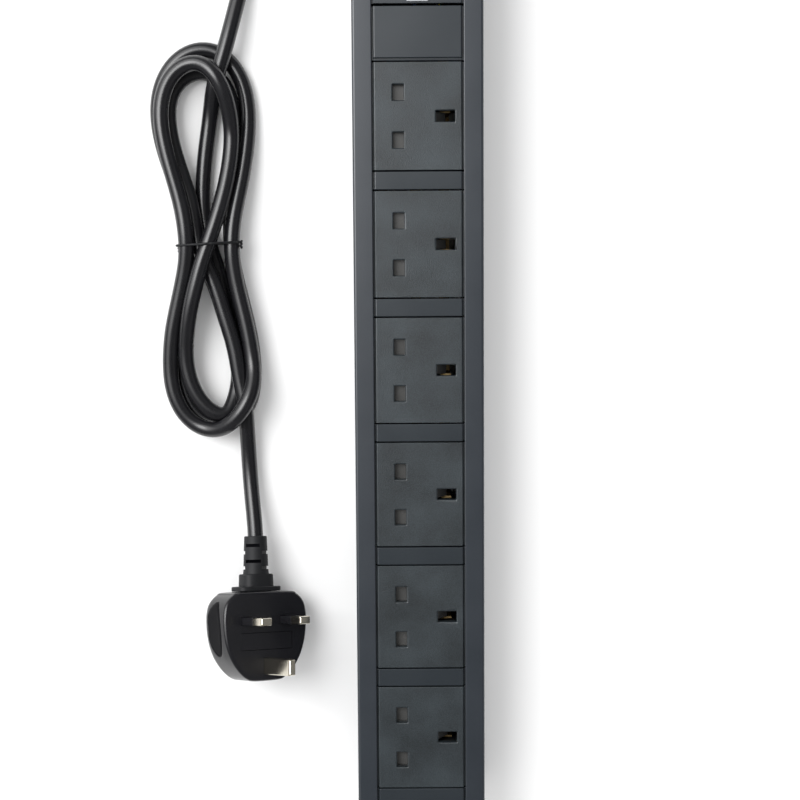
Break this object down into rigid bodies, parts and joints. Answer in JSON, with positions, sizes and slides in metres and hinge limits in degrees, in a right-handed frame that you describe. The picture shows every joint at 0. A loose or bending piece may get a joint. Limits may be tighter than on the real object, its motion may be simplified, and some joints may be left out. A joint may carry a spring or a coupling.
{
  "type": "rack power strip",
  "caption": "Straight 19-inch rack power strip with shuttered three-pin sockets, switched end, mounting ears and a tied lead with a fused plug.",
  "frame": {"origin": "centre of the strip's back face, lying on the ground plane, without the lead and its plug", "axes": "+Z out of the socket faces, +Y along the strip towards the end the lead comes out of"},
  "size_m": [0.1634, 0.5446, 0.0529],
  "materials": {
    "painted_aluminium": "satin black paint over an aluminium extrusion",
    "black_plastic": "finely spark-textured black moulding",
    "dark_steel": "satin black paint on folded steel sheet",
    "shutter_plastic": "plain grey moulding",
    "brass": "bare brass",
    "steel": "zinc-plated steel",
    "lens": "frosted pale lens",
    "cord_pvc": "glossy black PVC sheath",
    "plug_plastic": "satin black moulding",
    "insulator": "plain white moulding",
    "live_brown": "brown core insulation",
    "neutral_blue": "blue core insulation",
    "earth_green": "green and yellow core insulation",
    "ceramic": "glazed ceramic"
  },
  "bodies": {
    "strip": {"blank_panel": "black_plastic", "bus_bar_earth": "brass", "bus_bar_live": "brass", "bus_bar_neutral": "brass", "cable_gland": "plug_plastic", "chassis_channel": "painted_aluminium", "cord_hank": "cord_pvc", "cord_lead": "cord_pvc", "cord_tail": "cord_pvc", "earth_terminal": "brass", "earth_wire": "earth_green", "end_bracket_far": "dark_steel", "end_bracket_lead": "dark_steel", "end_screw_1": "steel", "end_screw_2": "steel", "end_screw_3": "steel", "end_screw_4": "steel", "gland_locknut": "plug_plastic", "hank_tie": "cord_pvc", "indicator_lamp": "lens", "indicator_lens": "lens", "insulator_tray": "insulator", "live_wire": "live_brown", "neutral_wire": "neutral_blue", "pin_earth": "brass", "pin_live": "brass", "pin_neutral": "brass", "plug_body": "plug_plastic", "socket_base_1": "black_plastic", "socket_base_2": "black_plastic", "socket_base_3": "black_plastic", "socket_base_4": "black_plastic", "socket_base_5": "black_plastic", "socket_base_6": "black_plastic", "socket_face_1": "black_plastic", "socket_face_2": "black_plastic", "socket_face_3": "black_plastic", "socket_face_4": "black_plastic", "socket_face_5": "black_plastic", "socket_face_6": "black_plastic", "spacer_1": "black_plastic", "spacer_2": "black_plastic", "spacer_3": "black_plastic", "spacer_4": "black_plastic", "spacer_5": "black_plastic", "spacer_6": "black_plastic", "strain_relief": "plug_plastic", "switch_body": "plug_plastic", "switch_plate": "black_plastic"},
    "shutter_body_1": {"shutter_1": "shutter_plastic"},
    "shutter_body_2": {"shutter_2": "shutter_plastic"},
    "shutter_body_3": {"shutter_3": "shutter_plastic"},
    "shutter_body_4": {"shutter_4": "shutter_plastic"},
    "shutter_body_5": {"shutter_5": "shutter_plastic"},
    "shutter_body_6": {"shutter_6": "shutter_plastic"},
    "rocker": {"switch_rocker": "black_plastic"},
    "fuse_drawer": {"fuse_carrier": "plug_plastic", "fuse_link": "ceramic"}
  },
  "joints": [
    {"name": "shutter_slide_1", "type": "slide", "parent": "strip", "child": "shutter_body_1", "axis": [-1, 0, 0], "range_m": [0, 0.0066], "stiffness_N_per_m": 150, "springref_m": -0.002},
    {"name": "shutter_slide_2", "type": "slide", "parent": "strip", "child": "shutter_body_2", "axis": [-1, 0, 0], "range_m": [0, 0.0066], "stiffness_N_per_m": 150, "springref_m": -0.002},
    {"name": "shutter_slide_3", "type": "slide", "parent": "strip", "child": "shutter_body_3", "axis": [-1, 0, 0], "range_m": [0, 0.0066], "stiffness_N_per_m": 150, "springref_m": -0.002},
    {"name": "shutter_slide_4", "type": "slide", "parent": "strip", "child": "shutter_body_4", "axis": [-1, 0, 0], "range_m": [0, 0.0066], "stiffness_N_per_m": 150, "springref_m": -0.002},
    {"name": "shutter_slide_5", "type": "slide", "parent": "strip", "child": "shutter_body_5", "axis": [-1, 0, 0], "range_m": [0, 0.0066], "stiffness_N_per_m": 150, "springref_m": -0.002},
    {"name": "shutter_slide_6", "type": "slide", "parent": "strip", "child": "shutter_body_6", "axis": [-1, 0, 0], "range_m": [0, 0.0066], "stiffness_N_per_m": 150, "springref_m": -0.002},
    {"name": "rocker_hinge", "type": "hinge", "parent": "strip", "child": "rocker", "pos_m": [0, 0.2, 0.0446], "axis": [1, 0, 0], "range_deg": [0, 16]},
    {"name": "fuse_drawer_slide", "type": "slide", "parent": "strip", "child": "fuse_drawer", "axis": [0.6128, 0.1678, 0.7722], "range_m": [0, 0.016]}
  ]
}
